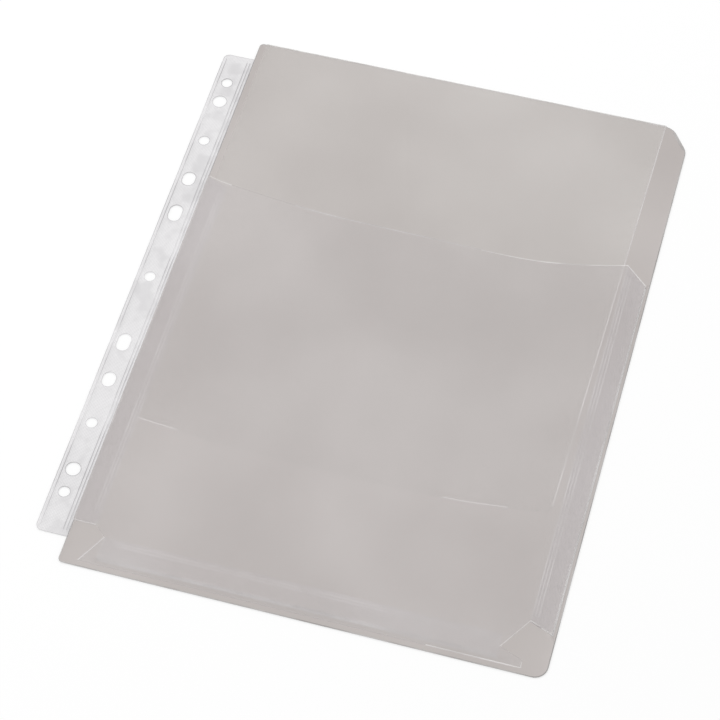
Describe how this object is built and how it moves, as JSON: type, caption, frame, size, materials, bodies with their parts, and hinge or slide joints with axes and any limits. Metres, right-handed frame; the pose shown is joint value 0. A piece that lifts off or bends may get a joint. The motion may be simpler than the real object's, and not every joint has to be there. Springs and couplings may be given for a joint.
{
  "type": "expanding punched pocket",
  "caption": "Flat clear film pocket with folded gussets that open it into a shallow tray, a long tuck-in flap and a pale punched filing strip.",
  "frame": {"origin": "on the surface that the pocket lies on, under the middle of its outline with the strip included", "axes": "+X from the punched strip to the plain side, +Y up to the flap's fold, +Z out of the front sheet"},
  "size_m": [0.2332, 0.302, 0.0025],
  "materials": {
    "clear_film": "smooth, slightly milky grey clear plastic film",
    "pale_film": "paler, finely embossed plastic film"
  },
  "bodies": {
    "back": {"back_panel": "clear_film", "punched_strip": "pale_film"},
    "flap": {"top_flap": "clear_film"},
    "right_back_leaf": {"right_gusset_back_leaf": "clear_film"},
    "right_front_leaf": {"right_gusset_front_leaf": "clear_film"},
    "front": {"front_panel": "clear_film"},
    "left_back_leaf": {"left_gusset_back_leaf": "clear_film"},
    "left_front_leaf": {"left_gusset_front_leaf": "clear_film"},
    "bottom_back_leaf": {"bottom_gusset_back_leaf": "clear_film"},
    "bottom_front_leaf": {"bottom_gusset_front_leaf": "clear_film"}
  },
  "joints": [
    {"name": "pocket_opening", "type": "hinge", "parent": "back", "child": "right_back_leaf", "pos_m": [0.1144, 0, 0.00095], "axis": [0, 1, 0], "range_deg": [0, 80]},
    {"name": "right_crease", "type": "hinge", "parent": "right_back_leaf", "child": "right_front_leaf", "pos_m": [0.1044, 0, 0.0015], "axis": [0, -1, 0], "range_deg": [0, 160]},
    {"name": "right_front_fold", "type": "hinge", "parent": "right_front_leaf", "child": "front", "pos_m": [0.1144, 0, 0.00205], "axis": [0, 1, 0], "range_deg": [0, 80]},
    {"name": "left_back_fold", "type": "hinge", "parent": "back", "child": "left_back_leaf", "pos_m": [-0.1006, 0, 0.00095], "axis": [0, -1, 0], "range_deg": [0, 80]},
    {"name": "left_crease", "type": "hinge", "parent": "left_back_leaf", "child": "left_front_leaf", "pos_m": [-0.0906, 0, 0.0015], "axis": [0, 1, 0], "range_deg": [0, 160]},
    {"name": "bottom_back_fold", "type": "hinge", "parent": "back", "child": "bottom_back_leaf", "pos_m": [0, -0.1454, 0.00095], "axis": [1, 0, 0], "range_deg": [0, 80]},
    {"name": "bottom_crease", "type": "hinge", "parent": "bottom_back_leaf", "child": "bottom_front_leaf", "pos_m": [0, -0.1354, 0.0015], "axis": [-1, 0, 0], "range_deg": [0, 160]},
    {"name": "flap_fold", "type": "hinge", "parent": "back", "child": "flap", "pos_m": [0, 0.151, 0.0004], "axis": [-1, 0, 0], "range_deg": [0, 180]}
  ],
  "couplings": [
    {"joint": "right_crease", "follows": "pocket_opening", "ratio": 2},
    {"joint": "right_front_fold", "follows": "pocket_opening", "ratio": 1},
    {"joint": "left_back_fold", "follows": "pocket_opening", "ratio": 1},
    {"joint": "left_crease", "follows": "pocket_opening", "ratio": 2},
    {"joint": "bottom_back_fold", "follows": "pocket_opening", "ratio": 1},
    {"joint": "bottom_crease", "follows": "pocket_opening", "ratio": 2}
  ]
}
